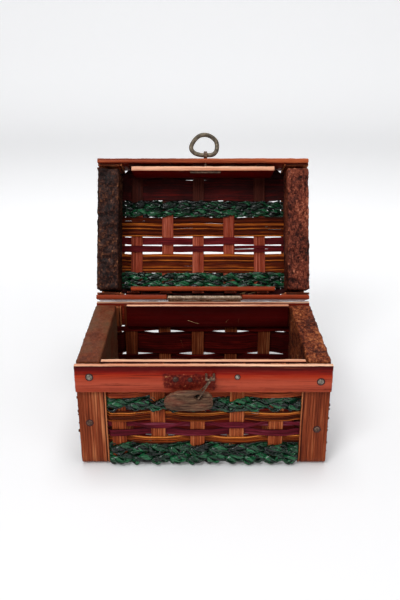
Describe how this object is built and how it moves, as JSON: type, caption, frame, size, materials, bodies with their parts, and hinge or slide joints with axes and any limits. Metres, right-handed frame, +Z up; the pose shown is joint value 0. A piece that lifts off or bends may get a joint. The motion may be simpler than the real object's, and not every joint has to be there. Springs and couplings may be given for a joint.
{
  "type": "wicker storage trunk",
  "caption": "Small wicker trunk with solid wooden end boards, woven panel, hinged shallow lid, ring latch and hanging wooden toggle.",
  "frame": {"origin": "middle of the underside of the base, where it stands", "axes": "+X to the right, -Y to the front, +Z up"},
  "size_m": [0.18, 0.2041, 0.215],
  "materials": {
    "rough_wood": "rough-sawn, dark stain",
    "varnished_slat": "varnished red-brown",
    "cover_splint": "ribbed splint, varnished",
    "stake_splint": "ribbed cane splint",
    "green_seagrass": "twisted seagrass twine",
    "burgundy_splint": "flat split cane, burgundy",
    "reed_band": "band of fine reeds",
    "red_strip": "flat split cane, red-brown",
    "nail_steel": "dull nail heads",
    "hinge_steel": "worn, lightly rusted",
    "ring_metal": "patinated",
    "wire_steel": "patinated wire",
    "toggle_wood": "weathered grey wood"
  },
  "bodies": {
    "base": {"back_strip_1": "red_strip", "back_strip_2": "red_strip", "back_strip_3": "red_strip", "back_strip_4": "red_strip", "base_board_left": "rough_wood", "base_board_right": "rough_wood", "base_rail_back_inner": "varnished_slat", "base_rail_back_outer": "varnished_slat", "base_rail_front_inner": "varnished_slat", "base_rail_front_outer": "varnished_slat", "base_stake_1": "stake_splint", "base_stake_2": "stake_splint", "base_stake_3": "stake_splint", "base_stake_4": "stake_splint", "base_stake_5": "stake_splint", "cover_strip_left": "cover_splint", "cover_strip_right": "cover_splint", "floor_band_1": "red_strip", "floor_band_2": "red_strip", "floor_band_3": "red_strip", "front_reed_1": "reed_band", "front_reed_2": "reed_band", "front_splint_1": "burgundy_splint", "front_splint_2": "burgundy_splint", "front_strip_top": "red_strip", "front_twine_1": "green_seagrass", "front_twine_2": "green_seagrass", "front_twine_3": "green_seagrass", "hinge_leaf_base": "hinge_steel", "hinge_pin": "hinge_steel", "latch_staple": "wire_steel", "nail_rail_left": "nail_steel", "nail_rail_right": "nail_steel", "nail_strip_left": "nail_steel", "nail_strip_right": "nail_steel"},
    "lid": {"hinge_leaf_lid": "hinge_steel", "latch_cotter": "wire_steel", "lid_board_left": "rough_wood", "lid_board_right": "rough_wood", "lid_cover_left": "cover_splint", "lid_cover_right": "cover_splint", "lid_rail_back_inner": "varnished_slat", "lid_rail_back_outer": "varnished_slat", "lid_rail_front_inner": "varnished_slat", "lid_rail_front_outer": "varnished_slat", "lid_reed_1": "reed_band", "lid_reed_2": "reed_band", "lid_splint_1": "burgundy_splint", "lid_splint_2": "burgundy_splint", "lid_stake_1": "stake_splint", "lid_stake_2": "stake_splint", "lid_stake_3": "stake_splint", "lid_stake_4": "stake_splint", "lid_stake_5": "stake_splint", "lid_strip": "red_strip", "lid_twine_1": "green_seagrass", "lid_twine_2": "green_seagrass"},
    "latch_ring": {"latch_ring": "ring_metal"},
    "toggle": {"toggle": "toggle_wood", "toggle_link": "wire_steel"}
  },
  "joints": [
    {"name": "lid_hinge", "type": "hinge", "parent": "base", "child": "lid", "pos_m": [0.0012, 0.0585, 0.0881], "axis": [1, 0, 0], "range_deg": [0, 115]},
    {"name": "ring_swing", "type": "hinge", "parent": "lid", "child": "latch_ring", "pos_m": [0.002, 0.11028, 0.19842], "axis": [1, 0, 0], "range_deg": [-85, 90]},
    {"name": "toggle_swing", "type": "hinge", "parent": "base", "child": "toggle", "pos_m": [0.0043, -0.0683, 0.078], "axis": [1, 0, 0], "range_deg": [-100, 0]}
  ]
}
